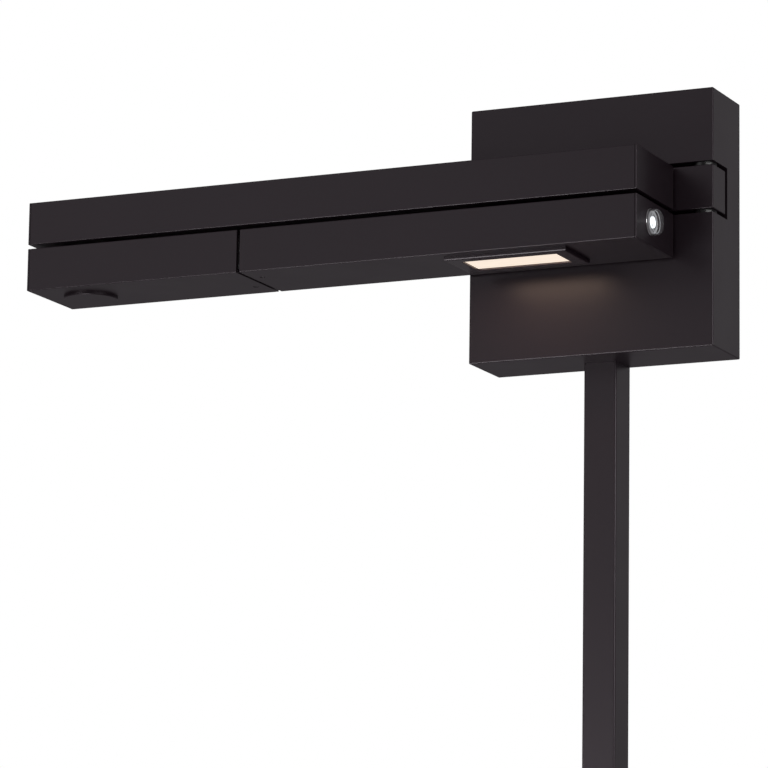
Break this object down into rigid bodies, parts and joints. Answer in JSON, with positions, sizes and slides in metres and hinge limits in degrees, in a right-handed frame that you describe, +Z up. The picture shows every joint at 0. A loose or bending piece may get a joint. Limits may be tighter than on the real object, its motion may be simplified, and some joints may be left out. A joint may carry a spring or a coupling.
{
  "type": "folding wall picture light",
  "caption": "Wall-mounted picture and reading light: a flat bar arm folds under a swing arm, with a lit window below its end, a push button and a surface cord cover.",
  "frame": {"origin": "on the wall, at the centre of the wall plate's back", "axes": "+Y into the wall, so the lamp stands off towards -Y; +Z up; +X to the right along the wall. The arm lies folded along -X and the cord cover runs down."},
  "size_m": [0.3278, 0.0806, 0.425],
  "materials": {
    "bronze_paint": "satin black-bronze powder coat",
    "zinc_steel": "zinc plated",
    "black_steel": "black oxide",
    "brass": "machined",
    "polished_chrome": "polished",
    "driver_plastic": "fine texture",
    "terminal_plastic": "plain",
    "switch_plastic": "plain",
    "slip_plastic": "smooth",
    "cover_base_plastic": "plain",
    "grommet_rubber": "matte",
    "lead_insulation": "smooth",
    "diffuser_plastic": "opal, lit from behind",
    "board_white": "white solder mask on aluminium",
    "led_phosphor": "smooth",
    "sink_aluminium": "milled",
    "reflector_white": "satin",
    "clear_cap": "clear, polished",
    "guide_plastic": "opal, lit from behind"
  },
  "bodies": {
    "wall_mount": {"canopy_shell": "bronze_paint", "wall_bracket": "zinc_steel", "canopy_screws": "zinc_steel", "earth_screw": "brass", "driver_case": "driver_plastic", "driver_studs": "zinc_steel", "driver_nuts": "zinc_steel", "terminal_block": "terminal_plastic", "terminal_screws": "zinc_steel", "swing_pivot_pin": "zinc_steel", "pivot_collars": "black_steel", "pivot_wave_washer": "zinc_steel", "pivot_nut": "zinc_steel", "cord_inlet_grommet": "grommet_rubber", "cord_cover_front": "bronze_paint", "cord_cover_base": "cover_base_plastic", "driver_input_lead": "lead_insulation", "driver_output_lead": "lead_insulation"},
    "upper_arm": {"swing_knuckle": "bronze_paint", "knuckle_bushes": "brass", "knuckle_spacer": "bronze_paint", "knuckle_screws": "black_steel", "upper_arm_tube": "bronze_paint", "upper_arm_caps": "bronze_paint", "elbow_axle": "zinc_steel", "elbow_axle_nut": "zinc_steel", "elbow_thrust_washer": "slip_plastic", "elbow_spring_washer": "zinc_steel", "arm_lead": "lead_insulation"},
    "elbow": {"elbow_tube": "bronze_paint", "elbow_end_cap": "bronze_paint", "elbow_bush": "brass", "elbow_friction_washer": "slip_plastic", "elbow_cover_disc": "bronze_paint", "elbow_bulkhead": "sink_aluminium", "elbow_grub_screw": "zinc_steel", "roll_shaft": "zinc_steel", "roll_washer": "zinc_steel", "roll_nut": "zinc_steel", "elbow_lead": "lead_insulation"},
    "head": {"head_tube": "bronze_paint", "head_bulkhead": "sink_aluminium", "head_grub_screw": "zinc_steel", "roll_bush": "brass", "head_end_cap": "bronze_paint", "light_bezel": "bronze_paint", "diffuser": "diffuser_plastic", "led_board": "board_white", "led_chips": "led_phosphor", "heat_sink": "sink_aluminium", "board_screws": "zinc_steel", "button_bezel": "polished_chrome", "dimmer_switch": "switch_plastic", "head_lead": "lead_insulation", "switch_lead": "lead_insulation"},
    "button": {"button_cap": "clear_cap", "button_reflector": "reflector_white", "button_light_guide": "guide_plastic", "button_clip": "zinc_steel", "button_spring": "zinc_steel"}
  },
  "joints": [
    {"name": "arm_swing", "type": "hinge", "parent": "wall_mount", "child": "upper_arm", "pos_m": [0.0535, -0.0275, 0.014], "axis": [0, 0, 1], "range_deg": [0, 90]},
    {"name": "elbow_fold", "type": "hinge", "parent": "upper_arm", "child": "elbow", "pos_m": [-0.24545, -0.05825, -0.00845], "axis": [0, 0, -1], "range_deg": [0, 180]},
    {"name": "head_roll", "type": "hinge", "parent": "elbow", "child": "head", "pos_m": [-0.15645, -0.05825, -0.00845], "axis": [1, 0, 0], "range_deg": [-4, 4]},
    {"name": "button_press", "type": "slide", "parent": "head", "child": "button", "axis": [-1, 0, 0], "range_m": [0, 0.001], "stiffness_N_per_m": 600, "springref_m": -0.001, "deforming": ["button_spring"]}
  ]
}
